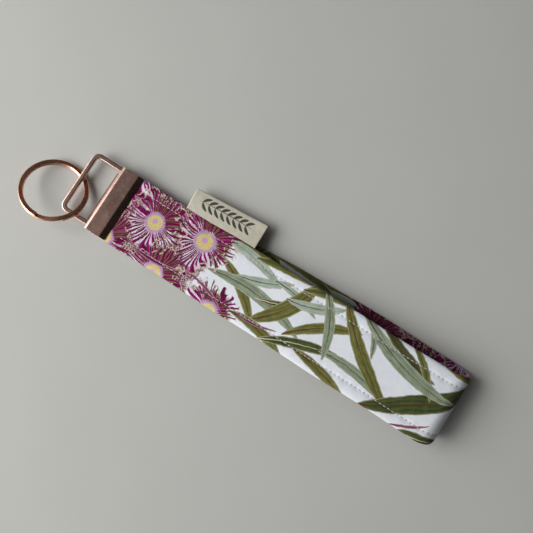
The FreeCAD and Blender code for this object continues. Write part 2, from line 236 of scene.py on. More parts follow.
class Tree:
    """Shorthand for building a node tree."""

    def __init__(self, tree):
        self.tree = tree

    def put(self, socket, value):
        if isinstance(value, bpy.types.NodeSocket):
            self.tree.links.new(value, socket)
        else:
            socket.default_value = value

    def math(self, operation, a, b=None, c=None):
        node = self.tree.nodes.new("ShaderNodeMath")
        node.operation = operation
        for socket, value in zip(node.inputs, (a, b, c)):
            if value is not None:
                self.put(socket, value)
        return node.outputs[0]

    def vector(self, operation, a, b=None, scale=None):
        node = self.tree.nodes.new("ShaderNodeVectorMath")
        node.operation = operation
        self.put(node.inputs[0], a)
        if b is not None:
            self.put(node.inputs[1], b)
        if scale is not None:
            self.put(node.inputs["Scale"], scale)
        return node.outputs["Value"] if operation in ("LENGTH", "DOT_PRODUCT") else node.outputs[0]

    def along(self, value, axis):
        """One component of a vector, by a node whose outputs take little of the shader's memory."""
        return self.vector("DOT_PRODUCT", value, tuple(float(axis == name) for name in "xyz"))

    def chance(self, value, seed):
        """A number from 0 to 1 that jumps about from one whole number to the next."""
        stride, scatter = 12.9898, 4375.85
        wave = self.math("SINE", self.math("MULTIPLY_ADD", value, stride, seed))
        return self.math("FRACT", self.math("MULTIPLY", wave, scatter))

    def join(self, x, y, z=0.0):
        node = self.tree.nodes.new("ShaderNodeCombineXYZ")
        for socket, value in zip(node.inputs, (x, y, z)):
            self.put(socket, value)
        return node.outputs[0]

    def noise(self, vector, scale, detail=2.0, roughness=0.5):
        node = self.tree.nodes.new("ShaderNodeTexNoise")
        self.put(node.inputs["Vector"], vector)
        node.inputs["Scale"].default_value = scale
        node.inputs["Detail"].default_value = detail
        node.inputs["Roughness"].default_value = roughness
        return node.outputs["Fac"]

    def mix(self, share, first, second):
        node = self.tree.nodes.new("ShaderNodeMix")
        node.data_type = "RGBA"
        self.put(node.inputs["Factor"], share)
        for name, value in (("A", first), ("B", second)):
            socket = next(i for i in node.inputs if i.name == name and i.type == "RGBA")
            self.put(socket, value if isinstance(value, bpy.types.NodeSocket) else (*value, 1.0))
        return next(o for o in node.outputs if o.type == "RGBA")

    def ramp(self, value, low, high):
        """0 at low, 1 at high, clamped."""
        node = self.tree.nodes.new("ShaderNodeMapRange")
        self.put(node.inputs["Value"], value)
        self.put(node.inputs["From Min"], low)
        self.put(node.inputs["From Max"], high)
        return node.outputs["Result"]

    def bump(self, height, strength, distance):
        node = self.tree.nodes.new("ShaderNodeBump")
        node.inputs["Strength"].default_value = strength
        node.inputs["Distance"].default_value = distance
        self.put(node.inputs["Height"], height)
        return node.outputs["Normal"]

    def attribute(self, name):
        node = self.tree.nodes.new("ShaderNodeAttribute")
        node.attribute_name = name
        return node.outputs["Vector"]


def new_material(name):
    material = bpy.data.materials.new(name)
    material.use_nodes = True
    shader = material.node_tree.nodes["Principled BSDF"]
    return material, Tree(material.node_tree), shader


def new_group(name, inputs, outputs):
    """An empty node group with its input and output sockets."""
    group = bpy.data.node_groups.new(name, "ShaderNodeTree")
    for title, kind in inputs:
        group.interface.new_socket(title, in_out="INPUT", socket_type=kind)
    for title, kind in outputs:
        group.interface.new_socket(title, in_out="OUTPUT", socket_type=kind)
    source = group.nodes.new("NodeGroupInput").outputs
    sink = group.nodes.new("NodeGroupOutput").inputs
    return group, Tree(group), source, sink


def use_group(tree, group, **values):
    """One use of a node group, with its inputs given by name."""
    node = tree.tree.nodes.new("ShaderNodeGroup")
    node.node_tree = group
    for name, value in values.items():
        tree.put(node.inputs[name.replace("_", " ")], value)
    return node.outputs


# ------------------------------------------------------------------ the print


def leaf_group():
    """A pointed, bowed leaf with a midrib, drawn in millimetres on the cloth."""
    group, t, given, out = new_group(
        "leaf", [("Point", "NodeSocketVector"), ("Start", "NodeSocketVector"),
                 ("End", "NodeSocketVector"), ("Bow", "NodeSocketFloat"),
                 ("Half width", "NodeSocketFloat"), ("Grain", "NodeSocketFloat")],
        [("Inside", "NodeSocketFloat"), ("Rib", "NodeSocketFloat"),
         ("Rim", "NodeSocketFloat"), ("Tone", "NodeSocketFloat")])
    soft_edge, rim_inner, rim_outer = 0.16, 0.42, 0.55
    rib_soft, rib_taper, rib_tip = 0.12, 0.16, 0.12
    line = t.vector("SUBTRACT", given["End"], given["Start"])
    length = t.vector("LENGTH", line)
    heading = t.vector("NORMALIZE", line)
    there = t.vector("SUBTRACT", given["Point"], given["Start"])
    along = t.vector("DOT_PRODUCT", there, heading)
    share = t.math("DIVIDE", along, length)
    across = t.along(t.vector("CROSS_PRODUCT", heading, there), "z")
    rest = t.math("SUBTRACT", 1.0, share)
    arch = t.math("MAXIMUM", t.math("MULTIPLY", t.math("MULTIPLY", share, rest), 4.0), 0.0)
    off = t.math("SUBTRACT", across, t.math("MULTIPLY", given["Bow"], arch))
    distance = t.math("ABSOLUTE", off)
    width = t.math("MULTIPLY", given["Half width"], t.math("POWER", arch, 0.6))
    inset = t.math("SUBTRACT", width, distance)
    inside = t.ramp(inset, 0.0, soft_edge)
    core = t.ramp(inset, rim_inner, rim_outer)
    rib_width = t.math("MULTIPLY_ADD", rest, rib_taper, rib_tip)
    on_rib = t.ramp(t.math("SUBTRACT", rib_width, distance), 0.0, rib_soft)
    rib = t.math("MULTIPLY", on_rib, inside)
    sway = t.math("SINE", t.math("MULTIPLY_ADD", along, 0.31, length))
    strokes = t.math("SINE", t.math("MULTIPLY_ADD", off, 3.4, t.math("MULTIPLY", sway, 1.3)))
    tone = t.math("MULTIPLY_ADD", strokes, 0.15, given["Grain"])
    t.put(out["Inside"], inside)
    t.put(out["Rib"], rib)
    t.put(out["Rim"], t.math("SUBTRACT", inside, core))
    t.put(out["Tone"], t.ramp(tone, 0.3, 0.7))
    return group


def stamen_ring(t, polar, count, seed, reach, thickness):
    """One ring of separate stamens: coverage, each one's own random colour, its cream tip."""
    radius, angle, wander, full = polar
    shortest, longest = reach
    tip_inset = 0.35
    phase = t.math("ADD", t.math("MULTIPLY", angle, count / (2 * math.pi)), wander)
    ray = t.math("FLOOR", phase)
    middle = t.math("ABSOLUTE", t.math("SUBTRACT", t.math("FRACT", phase), 0.5))
    chance = t.chance(ray, seed)
    tint = t.chance(ray, seed + 3.7)
    share = t.math("MULTIPLY_ADD", chance, longest - shortest, shortest)
    long = t.math("MULTIPLY", full, share)
    short_of_tip = t.math("SUBTRACT", long, radius)
    line = t.ramp(t.math("SUBTRACT", thickness, middle), 0.0, 0.10)
    covered = t.math("MULTIPLY", line, t.ramp(short_of_tip, 0.0, 0.2))
    from_tip = t.math("ABSOLUTE", t.math("SUBTRACT", short_of_tip, tip_inset))
    near_tip = t.ramp(from_tip, 0.40, 0.20)
    tip = t.math("MULTIPLY", near_tip, t.ramp(tint, 0.35, 0.45))
    return covered, tint, tip


GAP_SHADED = (0.190, 0.135, 0.058)            # between the stamens on a blossom's darker side
GAP_LIT = (0.82, 0.75, 0.84)
GAP_TINTED = (0.22, 0.006, 0.100)             # where the gaps are filled by stamens behind
STAMENS_BACK = ((0.095, 0.002, 0.040), (0.150, 0.005, 0.042))
STAMENS_FRONT = ((0.170, 0.000, 0.070), (0.330, 0.004, 0.165))
TIPS_BACK = (0.62, 0.50, 0.36)
TIPS_FRONT = (0.70, 0.56, 0.48)
LILAC = ((0.46, 0.24, 0.48), (0.62, 0.44, 0.62))
EYE = (0.60, 0.36, 0.56)


def blossom_group():
    """A round gum blossom: rings of fine stamens about a lilac cup with a yellow middle."""
    group, t, given, out = new_group(
        "blossom", [("Point", "NodeSocketVector"), ("Centre", "NodeSocketVector"),
                    ("Radius", "NodeSocketFloat"), ("Cup", "NodeSocketFloat"),
                    ("Grain", "NodeSocketFloat"), ("Gap tint", "NodeSocketFloat"),
                    ("Middle", "NodeSocketColor")],
        [("Inside", "NodeSocketFloat"), ("Color", "NodeSocketColor")])
    there = t.vector("SUBTRACT", given["Point"], given["Centre"])
    radius = t.vector("LENGTH", there)
    angle = t.math("ARCTAN2", t.along(there, "y"), t.along(there, "x"))
    seed = t.vector("LENGTH", given["Centre"])
    around = t.vector("SCALE", t.vector("NORMALIZE", there), scale=2.2)
    ax, ay = t.along(around, "x"), t.along(around, "y")
    lobes = t.math("SINE", t.math("MULTIPLY_ADD", angle, 3.0, seed))
    bends = t.math("SINE", t.math("MULTIPLY_ADD", radius, 0.30, t.math("MULTIPLY", angle, 5.0)))
    uneven = t.math("MULTIPLY_ADD", lobes, 0.10, t.math("MULTIPLY_ADD", bends, 0.08, -0.5))
    slow = t.math("ADD", t.math("ADD", given["Grain"], uneven), 0.5)
    wander = t.math("MULTIPLY", t.math("MULTIPLY_ADD", bends, 0.5, lobes), 0.9)
    full = t.math("MULTIPLY", given["Radius"], t.math("MULTIPLY_ADD", slow, 0.5, 0.75))
    polar = (radius, angle, wander, full)
    share = t.math("DIVIDE", radius, full)

    sideways = t.math("MULTIPLY", ax, -0.07)
    lit_side = t.math("ADD", sideways, t.math("MULTIPLY_ADD", ay, -0.20, slow))
    gap = t.mix(t.ramp(lit_side, 0.36, 0.52), GAP_SHADED, GAP_LIT)
    gap = t.mix(given["Gap tint"], gap, GAP_TINTED)
    back, back_tint, back_tip = stamen_ring(t, polar, 33.0, 11.0, (0.75, 1.10), 0.25)
    front, front_tint, front_tip = stamen_ring(t, polar, 49.0, 50.0, (0.55, 1.00), 0.275)
    colour = t.mix(back, gap, t.mix(back_tint, *STAMENS_BACK))
    colour = t.mix(back_tip, colour, TIPS_BACK)
    lively = t.mix(t.ramp(front_tint, 0.50, 0.90), *STAMENS_FRONT)
    colour = t.mix(front, colour, lively)
    outer_tip = t.math("MULTIPLY", front_tip, t.ramp(share, 0.4, 0.6))
    colour = t.mix(outer_tip, colour, TIPS_FRONT)
    filled = t.ramp(share, 0.80, 0.70)
    inside = t.math("MAXIMUM", filled, t.math("MAXIMUM", back, front))
    inside = t.math("MAXIMUM", inside, back_tip)

    bristle = t.math("SINE", t.math("MULTIPLY_ADD", angle, 46.0, t.math("MULTIPLY", wander, 3.0)))
    cup_edge = t.math("MULTIPLY", given["Cup"], t.math("MULTIPLY_ADD", slow, 0.30, 1.18))
    bristled_edge = t.math("MULTIPLY_ADD", bristle, 0.34, cup_edge)
    lilac = t.ramp(t.math("SUBTRACT", bristled_edge, radius), 0.0, 0.4)
    colour = t.mix(lilac, colour, t.mix(t.ramp(bristle, -0.4, 0.8), *LILAC))
    yellow = t.ramp(t.math("SUBTRACT", given["Cup"], radius), 0.0, 0.4)
    colour = t.mix(yellow, colour, given["Middle"])
    eye_off_centre = t.vector("SCALE", (0.35, -0.5, 0.0), scale=1.0)
    eye = t.vector("LENGTH", t.vector("ADD", there, eye_off_centre))
    eye_edge = t.math("MULTIPLY", given["Cup"], 0.36)
    colour = t.mix(t.ramp(t.math("SUBTRACT", eye_edge, eye), 0.0, 0.3), colour, EYE)
    t.put(out["Inside"], inside)
    t.put(out["Color"], colour)
    return group


OLIVE = ((0.115, 0.122, 0.028), (0.190, 0.190, 0.056))
DEEP = ((0.044, 0.064, 0.020), (0.092, 0.108, 0.034))
SAGE = ((0.195, 0.255, 0.162), (0.300, 0.360, 0.255))
MINT = ((0.330, 0.405, 0.320), (0.430, 0.500, 0.425))
MAROON = (0.115, 0.018, 0.022)
CREAM = (0.640, 0.580, 0.430)

MAGENTA = ((0.180, 0.004, 0.085), (0.260, 0.008, 0.130))

# The renderer holds little more than these lists in one shader; a longer one renders black.
# Leaves in mm on the cloth: start, end, bow, half width, colours, rib colour. Later ones lie on top.
LEAVES_UNDER = [
    ((44, 17), (74, 14), 1.0, 2.2, OLIVE, MAROON),
    ((47, 13), (82, 7), 2.4, 2.3, MINT, SAGE[0]),
    ((52, 6), (80, -14), 2.6, 2.4, OLIVE, MAROON),
    ((62, 2), (86, 12), -1.5, 2.1, MINT, DEEP[0]),
    ((66, 13), (96, 16), 1.6, 2.4, OLIVE, DEEP[0]),
    ((50, -2), (99, -7), 4.2, 2.9, SAGE, MAROON),
    ((78, 9), (101, 4), 1.6, 1.7, MINT, DEEP[0]),
    ((74, -2), (100, 9), -1.2, 1.5, DEEP, CREAM),
    ((77, -11), (95, 18), -3.2, 3.7, OLIVE, MAROON),
    ((68, -12), (98, -18), 2.2, 2.4, OLIVE, MAROON),
    ((86, 5), (110, 14), -1.8, 2.3, MINT, MAROON),
    ((90, 12), (118, 17), 2.0, 2.4, OLIVE, DEEP[0]),
    ((92, -9), (121, 9), 2.6, 2.4, OLIVE, MAROON),
    ((84, -16), (118, -4), 1.6, 2.4, DEEP, CREAM),
    ((108, -6), (143, -11), 2.6, 2.3, SAGE, MAROON),
    ((99, -11), (128, -18), 1.4, 2.3, OLIVE, MAROON),
    ((98, 18), (112, -9), 2.2, 2.3, SAGE, MAROON),
    ((107, 19), (146, -13), -2.2, 2.9, OLIVE, MAROON),
    ((120, 19), (129, 2), 1.0, 1.5, SAGE, DEEP[0]),
    ((124, 19), (156, 7), -1.4, 2.1, DEEP, MAROON),
    ((133, -17), (182, 19), -1.6, 4.2, DEEP, MAROON),
    ((140, 18), (158, 0), 1.4, 1.7, OLIVE, DEEP[0]),
    ((116, 18), (167, 3), -3.6, 3.1, SAGE, MAROON),
    ((150, 18), (174, 12), 1.4, 2.0, OLIVE, DEEP[0]),
    ((150, -18), (172, -15), 1.2, 2.6, DEEP, CREAM),
]
# Thin magenta strokes that cross over everything else.
STROKES_OVER = [
    ((12, -9), (42, -9), -2.8, 1.0, MAGENTA, MAGENTA[0]),
    ((70, -12), (90, -9), -1.0, 0.8, MAGENTA, MAGENTA[0]),
    ((46, -8), (66, -15), 1.4, 0.8, MAGENTA, MAGENTA[0]),
    ((148, -16), (163, -8), -0.8, 0.7, MAGENTA, MAGENTA[0]),
]
# Blossoms in mm: centre, radius, cup radius.
BLOSSOMS = [
    ((4, 19), 15.0, 3.4),
    ((4, -14), 15.0, 3.4),
    ((60, -17.5), 13.0, 3.8),
    ((31, -16.5), 15.5, 3.9),
    ((43, 7), 15.5, 3.9),
    ((20, 2.5), 14.5, 3.6),
]


def point(pair):
    """A place on the cloth as a shader vector."""
    return (float(pair[0]), float(pair[1]), 0.0)


def add_leaves(t, leaf, leaves, cloth_point, grain, colour):
    """The colour with these leaves laid over it, one after another."""
    for start, end, bow, width, tones, rib in leaves:
        drawn = use_group(t, leaf, Point=cloth_point, Start=point(start), End=point(end),
                          Bow=float(bow), Half_width=float(width), Grain=grain)
        body = t.mix(drawn["Tone"], tones[0], tones[1])
        body = t.mix(t.math("MULTIPLY", drawn["Rim"], 0.40), body, CREAM)
        body = t.mix(drawn["Rib"], body, rib)
        colour = t.mix(drawn["Inside"], colour, body)
    return colour


GROUND = ((0.80, 0.84, 0.90), (0.85, 0.87, 0.91))
CROWD_OLIVE = (0.19, 0.150, 0.060)
CROWD_MAGENTA = (0.21, 0.004, 0.078)
CROWD_PALE = (0.74, 0.66, 0.72)
YELLOW = ((0.66, 0.50, 0.15), (0.74, 0.64, 0.33))
CROWD_REACH = (62.0, 58.0)                    # where the crowded ground ends along the cloth, mm


def print_colour(t, cloth_point):
    """Colour of the printed cloth at a point in mm."""
    shake_x = t.noise(cloth_point, 0.35, 3.0)
    shake_y = t.noise(t.vector("ADD", cloth_point, (40, 9, 0)), 0.35, 3.0)
    shaken = t.vector("SUBTRACT", t.join(shake_x, shake_y), (0.5, 0.5, 0.0))
    drawn = t.vector("ADD", cloth_point, t.vector("SCALE", shaken, scale=0.9))
    leaf = leaf_group()
    grain = t.noise(cloth_point, 0.30, 2.0)
    fine_grain = t.noise(t.vector("MULTIPLY", cloth_point, (1.0, 0.55, 1.0)), 2.4, 2.0)
    colour = t.mix(t.ramp(grain, 0.35, 0.65), *GROUND)
    crowd = t.mix(t.ramp(fine_grain, 0.41, 0.45), CROWD_OLIVE, CROWD_MAGENTA)
    crowd = t.mix(t.ramp(fine_grain, 0.54, 0.58), crowd, CROWD_PALE)
    uneven_place = t.math("MULTIPLY_ADD", grain, 24.0, t.along(cloth_point, "x"))
    crowded = t.ramp(uneven_place, *CROWD_REACH)
    colour = t.mix(crowded, colour, crowd)
    colour = add_leaves(t, leaf, LEAVES_UNDER, drawn, grain, colour)
    blossom = blossom_group()
    gap_tint = t.ramp(fine_grain, 0.56, 0.66)
    middle = t.mix(t.ramp(fine_grain, 0.40, 0.60), *YELLOW)
    for centre, radius, cup in BLOSSOMS:
        flower = use_group(t, blossom, Point=drawn, Centre=point(centre),
                           Radius=float(radius), Cup=float(cup), Grain=grain,
                           Gap_tint=gap_tint, Middle=middle)
        colour = t.mix(flower["Inside"], colour, flower["Color"])
    return add_leaves(t, leaf, STROKES_OVER, drawn, grain, colour)


def weave_height(t, cloth_point, threads_per_mm):
    """Over-and-under plain weave, with uneven threads."""
    shaken = t.vector("ADD", cloth_point, t.vector(
        "SCALE", t.join(t.noise(cloth_point, 1.3), t.noise(cloth_point, 1.7)), scale=0.25))
    turn = math.pi * threads_per_mm
    warp = t.math("SINE", t.math("MULTIPLY", t.along(shaken, "x"), turn))
    weft = t.math("SINE", t.math("MULTIPLY", t.along(shaken, "y"), turn))
    return t.math("MULTIPLY_ADD", t.math("MULTIPLY", warp, weft), 0.5, 0.5)


BLACK = (0.0, 0.0, 0.0)
INNER_SHADE = 0.42                            # how much darker the loop's inside is drawn


def print_material():
    """Printed cotton. The attribute's z is 1 on the loop's inside, 0 on its outside."""
    material, t, shader = new_material("print_cotton")
    cloth_point = t.attribute("print_mm")
    colour = print_colour(t, cloth_point)
    weave = weave_height(t, cloth_point, 3.2)
    # Painted shade: the weave's low points are drawn darker. The faded noise below is the cloth's own
    # uneven tone.
    shade = t.math("MULTIPLY_ADD", weave, 0.13, 0.90)
    faded = t.noise(cloth_point, 0.9, 4.0)
    shade = t.math("MULTIPLY", shade, t.math("MULTIPLY_ADD", faded, 0.16, 0.92))
    inner = t.along(cloth_point, "z")
    shade = t.math("MULTIPLY", shade, t.math("MULTIPLY_ADD", inner, -INNER_SHADE, 1.0))
    t.put(shader.inputs["Base Color"], t.mix(shade, BLACK, colour))
    fuzz = t.noise(cloth_point, 6.0, 3.0)
    height = t.math("MULTIPLY_ADD", fuzz, 0.5, weave)
    t.put(shader.inputs["Normal"], t.bump(height, 0.45, 0.00006))
    t.put(shader.inputs["Roughness"], t.math("MULTIPLY_ADD", faded, 0.12, 0.80))
    shader.inputs["Sheen Weight"].default_value = 0.03
    shader.inputs["Sheen Roughness"].default_value = 0.5
    shader.inputs["Specular IOR Level"].default_value = 0.12
    return material


# ------------------------------------------------------------------ other materials


THREAD = ((0.60, 0.55, 0.62), (0.76, 0.73, 0.77))
# Painted shade: colour drawn into the grooves of the thread's twist.
PAINTED_GROOVE_SHADE = (0.2, 0.18, 0.2)


def thread_material():
    """Twisted sewing thread: the attribute's x runs along it, its y round it."""
    material, t, shader = new_material("sewing_thread")
    place = t.attribute("print_mm")
    slant = t.math("MULTIPLY", t.along(place, "y"), 9.0)
    twist = t.math("SINE", t.math("MULTIPLY_ADD", t.along(place, "x"), 16.0, slant))
    tone = t.ramp(t.noise(place, 0.6), 0.3, 0.7)
    colour = t.mix(tone, *THREAD)
    # Painted shade: the twist's grooves are drawn darker than its crests.
    colour = t.mix(t.ramp(twist, -1.0, 1.0), t.mix(0.6, PAINTED_GROOVE_SHADE, colour), colour)
    t.put(shader.inputs["Base Color"], colour)
    t.put(shader.inputs["Normal"], t.bump(twist, 0.5, 0.00004))
    shader.inputs["Roughness"].default_value = 0.55
    shader.inputs["Sheen Weight"].default_value = 0.2
    return material


def metal_material(name, pale, warm, roughness, grain):
    """Rose-gold plating: fine grain, cloudy handling marks, a few hairline scratches, and a painted
    highlight along sharp convex edges.
    """
    material, t, shader = new_material(name)
    node = t.tree.nodes.new("ShaderNodeTexCoord")
    place = node.outputs["Object"]
    cloud = t.noise(place, 260.0, 3.0, 0.6)
    x, y, z = (t.along(place, axis) for axis in "xyz")
    brushed = t.noise(t.join(t.math("MULTIPLY", x, grain), y, z), 900.0, 2.0, 0.7)
    diagonal = t.math("MULTIPLY_ADD", x, 1.0, y)
    scratch = t.noise(t.join(diagonal, t.math("MULTIPLY", y, 14.0), z), 700.0, 1.0)
    marks = t.ramp(scratch, 0.70, 0.74)
    # Painted highlight: sharp convex edges, found by pointiness, are drawn paler, standing in for
    # bright reflections along ridges and rims.
    geometry = t.tree.nodes.new("ShaderNodeNewGeometry")
    edge_highlight_mask = t.ramp(geometry.outputs["Pointiness"], 0.52, 0.60)
    colour = t.mix(t.ramp(cloud, 0.35, 0.65), warm, pale)
    edge_highlight_colour = tuple(min(1.0, part * 1.25) for part in pale)
    colour = t.mix(t.math("MULTIPLY", edge_highlight_mask, 0.5), colour, edge_highlight_colour)
    t.put(shader.inputs["Base Color"], colour)
    shader.inputs["Metallic"].default_value = 1.0
    base = t.math("MULTIPLY_ADD", cloud, 0.14, roughness - 0.07)
    t.put(shader.inputs["Roughness"], t.math("MULTIPLY_ADD", marks, 0.12, base))
    height = t.math("MULTIPLY_ADD", brushed, 0.6, t.math("MULTIPLY", cloud, 0.25))
    t.put(shader.inputs["Normal"], t.bump(height, 0.22, 0.00002))
    return material


LABEL_CLOTH = ((0.58, 0.54, 0.43), (0.67, 0.63, 0.51))
INK = (0.018, 0.016, 0.016)


def label_material():
    """Unbleached cotton with a small generic sprig printed along it."""
    material, t, shader = new_material("label_cotton")
    place = t.attribute("print_mm")
    weave = weave_height(t, place, 2.6)
    cloud = t.noise(place, 0.5, 3.0)
    colour = t.mix(t.ramp(cloud, 0.3, 0.7), *LABEL_CLOTH)
    colour = t.mix(sprig_ink(t, place), colour, INK)
    # Painted shade: the weave's low points are drawn darker.
    shade = t.math("MULTIPLY_ADD", weave, 0.20, 0.84)
    t.put(shader.inputs["Base Color"], t.mix(shade, BLACK, colour))
    t.put(shader.inputs["Normal"], t.bump(weave, 0.6, 0.00008))
    shader.inputs["Roughness"].default_value = 0.86
    shader.inputs["Sheen Weight"].default_value = 0.1
    return material


def sprig_ink(t, place):
    """A stem with paired leaves, all drawn with the leaf group."""
    leaf = bpy.data.node_groups["leaf"]
    stem = ((3.0, 5.0), (31.5, 6.2), 0.6, 0.26)
    pairs, pitch, rise = 8, 3.0, 0.13
    shapes = [stem]
    for index in range(pairs):
        root = (5.0 + pitch * index, 5.2 + rise * index)
        for side in (-1, 1):
            tip = (root[0] + 3.4, root[1] + side * 2.9)
            shapes.append((root, tip, 0.4 * side, 0.72))
    ink = None
    for start, end, bow, width in shapes:
        inside = use_group(t, leaf, Point=place, Start=point(start), End=point(end),
                           Bow=bow, Half_width=width)["Inside"]
        ink = inside if ink is None else t.math("MAXIMUM", ink, inside)
    return t.math("MULTIPLY", ink, 0.93)


def interfacing_material():
    """Stiff woven backing, inside the strap."""
    material, t, shader = new_material("interfacing")
    node = t.tree.nodes.new("ShaderNodeTexCoord")
    place = t.vector("SCALE", node.outputs["Object"], scale=1000.0)
    weave = weave_height(t, place, 1.6)
    # Painted shade: the weave's low points are drawn in the darker tone.
    t.put(shader.inputs["Base Color"], t.mix(weave, (0.66, 0.65, 0.61), (0.78, 0.77, 0.74)))
    t.put(shader.inputs["Normal"], t.bump(weave, 0.5, 0.0001))
    shader.inputs["Roughness"].default_value = 0.9
    return material


# ------------------------------------------------------------------ strap


def section_columns():
    """Places across the strap, closer together at the edges and the seams."""
    even = np.linspace(-1, 1, 41)
    about_seam = np.array([-1.0, -0.6, -0.3, 0.0, 0.3, 0.6, 1.0])
    closest = 0.12
    places = set(np.round(HALF_WIDTH * np.sin(even * math.pi / 2), 3))
    for seam in (-SEAM, SEAM):
        places |= set(np.round(seam + about_seam, 3))
    places = np.array(sorted(places))
    keep = np.r_[True, np.diff(places) > closest]
    return places[keep]


def cloth_place(s, across, side):
    """Where on the printed cloth a point of the strap was cut from, in mm."""
    upper_start, under_start = 2.0, 8.0       # how the print lies on each outer face
    inner_upper_start, inner_under_start = 150, 4.0
    half_way = BAND.length / 2
    upper = s <= half_way
    if side > 0:
        along = np.where(upper, s - upper_start, BAND.length - s + under_start)
        return np.c_[along, np.where(upper, across, -across)]
    along = np.where(upper, inner_upper_start - s, s - half_way - inner_under_start)
    return np.c_[np.abs(along), across]


def set_print_place(piece, places, domain):
    """The place on the cloth of each point or face corner, for the materials."""
    layer = piece.data.attributes.new("print_mm", "FLOAT_VECTOR", domain)
    layer.data.foreach_set("vector", np.asarray(places).astype(np.float32).ravel())


def bend_at_mouth(piece):
    """Bakes the piece's placement into its points."""
    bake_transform(piece)


def strap_faces(rows, width):
    """Faces of the tube of cloth, and for each the side it is on: 1 outside, -1 inside."""
    base = rows * width
    around = width + width - 2

    def index(row, place):
        """The section's points run across the outside, then back across the inside."""
        place %= around
        if place < width:
            return row * width + place
        return base + row * (width - 2) + (width - 3 - (place - width))

    faces = []
    sides = []
    for row in range(rows - 1):
        for place in range(around):
            faces.append((index(row, place), index(row + 1, place),
                          index(row + 1, place + 1), index(row, place + 1)))
            sides.append(1 if place < width - 1 else -1)
    for row, order in ((0, 1), (rows - 1, -1)):
        ring = [index(row, place) for place in range(around)]
        faces.append(tuple(ring[::order]))
        sides.append(1)
    return faces, sides


def make_strap(material):
    """The looped band of print cotton, with its two ends in the clamp."""
    row_step = 0.62
    rows = int(BAND.length / row_step)
    s = np.linspace(0, BAND.length, rows)
    columns = section_columns()
    grid_s, grid_t = np.meshgrid(s, columns, indexing="ij")
    outer = surface(grid_s.ravel(), grid_t.ravel(), 1)
    inner = surface(grid_s[:, 1:-1].ravel(), grid_t[:, 1:-1].ravel(), -1)
    faces, sides = strap_faces(rows, len(columns))
    strap = mesh_object("strap_print_cotton", np.vstack([outer, inner]), faces, material=material)

    all_s = np.r_[grid_s.ravel(), grid_s[:, 1:-1].ravel()]
    all_t = np.r_[grid_t.ravel(), grid_t[:, 1:-1].ravel()]
    mesh = strap.data
    corner_vertex = np.zeros(len(mesh.loops), np.int32)
    mesh.loops.foreach_get("vertex_index", corner_vertex)
    totals = np.zeros(len(mesh.polygons), np.int32)
    mesh.polygons.foreach_get("loop_total", totals)
    corner_side = np.repeat(np.array(sides), totals)
    outside = cloth_place(all_s, all_t, 1)[corner_vertex]
    inside = cloth_place(all_s, all_t, -1)[corner_vertex]
    place = np.where(corner_side[:, None] > 0, outside, inside)
    # The loop's inside is drawn darker, as a stand-in for the deep shade seen there.
    darker = (corner_side < 0).astype(float)
    set_print_place(strap, np.c_[place, darker], "CORNER")
    bend_at_mouth(strap)
    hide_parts("strap_cover", "strap_end_upper", "strap_end_under")
    return strap


def stitch_path(seam, side, start):
    """Five points of one stitch, which rises out of its hole and goes back into the next."""
    hole_inset = 0.22
    share = np.array([0.0, 0.18, 0.5, 0.82, 1.0])
    s = start + hole_inset + share * (STITCH - 2 * hole_inset)
    lean = 0.05 * math.sin(start * 1.7)
    across = np.full(5, seam) + lean * np.array([-1, -1, 0, 1, 1])
    rise = np.array([-0.16, 0.02, 0.10, 0.02, -0.16])
    points = surface(s, across, side)
    normal = BAND.normal_at(s)
    return points + normal * (side * rise)[:, None], s, normal


def make_stitches(name, node, seam, side, material):
    """One thread's visible stitches along a seam."""
    around = 7
    radius = 0.17
    end_taper = 0.75
    flatness = 0.8
    vertices, faces, places = [], [], []
    first_x = HINGE_X + 2.5
    first = BAND.s[np.searchsorted(BAND.centre[:200, 0], first_x)]
    last = BAND.length - first
    start = first
    while start + STITCH < last:
        points, s, normal = stitch_path(seam, side, start)
        base = len(vertices)
        for ring, centre in enumerate(points):
            grown = radius * (end_taper if ring in (0, 4) else 1.0)
            for turn in range(around):
                angle = 2 * math.pi * turn / around
                sideways = np.array([0, math.cos(angle), 0])
                spread = sideways + normal[ring] * math.sin(angle) * flatness
                vertex = centre + spread * grown
                vertex[2] = max(vertex[2], TABLE_GAP / 2)
                vertices.append(vertex)
                places.append((s[ring], seam + 3 * angle / 7, 0))
        for ring in range(4):
            near, far = base + ring * around, base + (ring + 1) * around
            for turn in range(around):
                after = (turn + 1) % around
                faces.append((near + turn, near + after, far + after, far + turn))
        faces.append(tuple(base + turn for turn in reversed(range(around))))
        faces.append(tuple(base + 4 * around + turn for turn in range(around)))
        start += STITCH
    piece = mesh_object(name, vertices, faces, material=material)
    set_print_place(piece, places, "POINT")
    bend_at_mouth(piece)
    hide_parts(node)
    return piece


# ------------------------------------------------------------------ label


def root_z(x):
    """Height of the upper layer's middle at a place along the strap."""
    upper = BAND.s < BAND.length / 3
    return np.interp(x, BAND.centre[upper, 0], BAND.centre[upper, 2])


def label_profile():
    """Across the ribbon: share of the way out, and 1 on the upper ply to -1 on the lower."""
    bend = 0.03                     # share of the way out that the ribbon's own fold takes
    profile = [(outward, 1.0) for outward in np.linspace(0, 1 - bend, 22)]
    for turn in np.linspace(0.1, math.pi - 0.1, 9):
        profile.append((1 - bend + bend * math.sin(turn), math.cos(turn)))
    profile += [(outward, -1.0) for outward in np.linspace(1 - bend, 0, 22)]
    return profile


